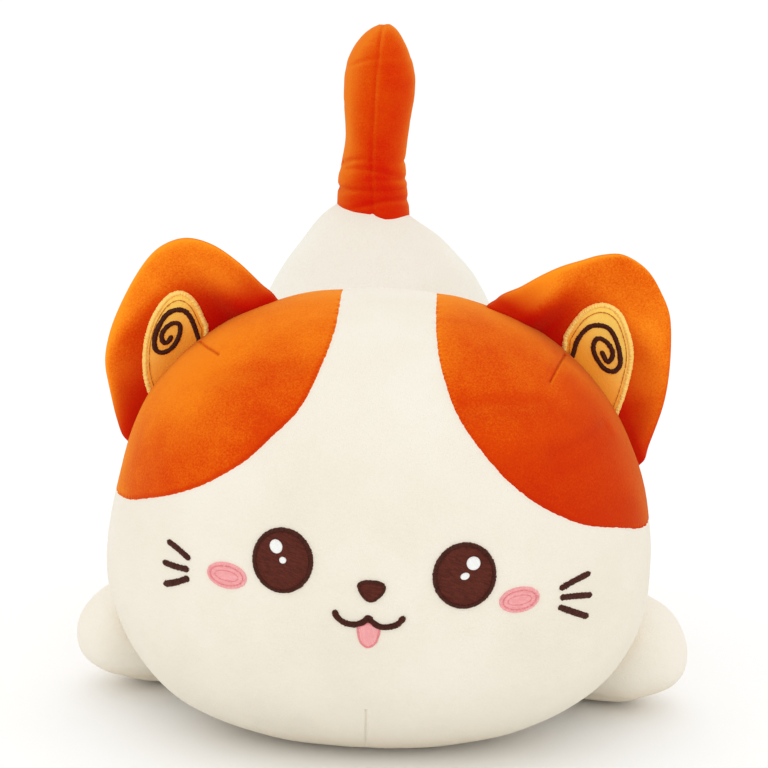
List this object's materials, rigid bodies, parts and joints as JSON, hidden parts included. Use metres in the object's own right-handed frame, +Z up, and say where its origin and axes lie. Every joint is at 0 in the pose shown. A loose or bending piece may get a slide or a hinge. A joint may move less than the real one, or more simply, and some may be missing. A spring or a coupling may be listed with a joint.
{
  "type": "plush cat",
  "caption": "Plush cat lying with its big round head low between its front paws and its tail standing up; head, ears, paws and tail move.",
  "frame": {"origin": "on the table, under the centre of the bounding box", "axes": "+Z up, the face looks along -Y, the cat's left side is +X"},
  "size_m": [0.35, 0.4056, 0.36],
  "materials": {
    "cream_plush": "short-pile velboa, cream",
    "orange_plush": "short-pile velboa, orange",
    "yellow_plush": "short-pile velboa, warm yellow",
    "brown_thread": "satin-stitch embroidery, dark brown",
    "pink_thread": "satin-stitch embroidery, pink",
    "white_thread": "satin-stitch embroidery, off-white",
    "stuffing": "white fibre filling, hidden"
  },
  "bodies": {
    "torso": {"body_stuffing": "stuffing", "body_side_left": "cream_plush", "body_side_right": "cream_plush", "belly_panel": "cream_plush"},
    "neck": {"neck_stuffing": "stuffing"},
    "head": {"head_stuffing": "stuffing", "face_panel": "cream_plush", "head_back_panel": "cream_plush", "crown_front_left": "orange_plush", "crown_front_right": "orange_plush", "crown_back_left": "orange_plush", "crown_back_right": "orange_plush", "eye_left": "brown_thread", "eye_right": "brown_thread", "eye_glint_large_left": "white_thread", "eye_glint_large_right": "white_thread", "eye_glint_small_left": "white_thread", "eye_glint_small_right": "white_thread", "cheek_left": "pink_thread", "cheek_right": "pink_thread", "whisker_1_left": "brown_thread", "whisker_1_right": "brown_thread", "whisker_2_left": "brown_thread", "whisker_2_right": "brown_thread", "whisker_3_left": "brown_thread", "whisker_3_right": "brown_thread", "nose": "brown_thread", "mouth": "brown_thread", "tongue": "pink_thread"},
    "ear_left": {"ear_stuffing_left": "stuffing", "ear_front_left": "orange_plush", "ear_back_left": "orange_plush", "ear_lining_left": "yellow_plush", "ear_swirl_left": "brown_thread"},
    "ear_right": {"ear_stuffing_right": "stuffing", "ear_front_right": "orange_plush", "ear_back_right": "orange_plush", "ear_lining_right": "yellow_plush", "ear_swirl_right": "brown_thread"},
    "tail_lower": {"tail_lower_stuffing": "stuffing", "tail_lower_sleeve_left": "orange_plush", "tail_lower_sleeve_right": "orange_plush"},
    "tail_upper": {"tail_upper_stuffing": "stuffing", "tail_upper_sleeve_left": "orange_plush", "tail_upper_sleeve_right": "orange_plush"},
    "front_paw_left": {"front_paw_stuffing_left": "stuffing", "front_paw_upper_left": "cream_plush", "front_paw_sole_left": "cream_plush"},
    "front_paw_right": {"front_paw_stuffing_right": "stuffing", "front_paw_upper_right": "cream_plush", "front_paw_sole_right": "cream_plush"},
    "hind_paw_left": {"hind_paw_stuffing_left": "stuffing", "hind_paw_upper_left": "cream_plush", "hind_paw_sole_left": "cream_plush"},
    "hind_paw_right": {"hind_paw_stuffing_right": "stuffing", "hind_paw_upper_right": "cream_plush", "hind_paw_sole_right": "cream_plush"}
  },
  "joints": [
    {"name": "head_turn", "type": "hinge", "parent": "torso", "child": "neck", "pos_m": [0, 0.004, 0.1], "axis": [0, 0, 1], "range_deg": [-6, 6], "stiffness_Nm_per_rad": 0.6},
    {"name": "head_nod", "type": "hinge", "parent": "neck", "child": "head", "pos_m": [0, 0.004, 0.1], "axis": [-1, 0, 0], "range_deg": [-2, 7], "stiffness_Nm_per_rad": 1.2},
    {"name": "ear_left_fold", "type": "hinge", "parent": "head", "child": "ear_left", "pos_m": [0.105, -0.074, 0.198], "axis": [0.682, 0, -0.7314], "range_deg": [-12, 22], "stiffness_Nm_per_rad": 0.03},
    {"name": "ear_right_fold", "type": "hinge", "parent": "head", "child": "ear_right", "pos_m": [-0.105, -0.074, 0.198], "axis": [0.682, 0, 0.7314], "range_deg": [-12, 22], "stiffness_Nm_per_rad": 0.03},
    {"name": "front_paw_left_swing", "type": "hinge", "parent": "torso", "child": "front_paw_left", "pos_m": [0.054, 0.035, 0.038], "axis": [0, 0, 1], "range_deg": [0, 27], "stiffness_Nm_per_rad": 0.05},
    {"name": "front_paw_right_swing", "type": "hinge", "parent": "torso", "child": "front_paw_right", "pos_m": [-0.054, 0.035, 0.038], "axis": [0, 0, -1], "range_deg": [0, 27], "stiffness_Nm_per_rad": 0.05},
    {"name": "hind_paw_left_splay", "type": "hinge", "parent": "torso", "child": "hind_paw_left", "pos_m": [0.066, 0.138, 0.032], "axis": [0, 0, 1], "range_deg": [0, 30], "stiffness_Nm_per_rad": 0.04},
    {"name": "hind_paw_right_splay", "type": "hinge", "parent": "torso", "child": "hind_paw_right", "pos_m": [-0.066, 0.138, 0.032], "axis": [0, 0, -1], "range_deg": [0, 30], "stiffness_Nm_per_rad": 0.04},
    {"name": "tail_wag", "type": "hinge", "parent": "torso", "child": "tail_lower", "pos_m": [-0.0125, 0.172, 0.242], "axis": [0, 1, 0], "range_deg": [-18, 18], "stiffness_Nm_per_rad": 0.08},
    {"name": "tail_curl", "type": "hinge", "parent": "tail_lower", "child": "tail_upper", "pos_m": [-0.0125, 0.172, 0.275], "axis": [1, 0, 0], "range_deg": [-22, 22], "stiffness_Nm_per_rad": 0.05}
  ]
}
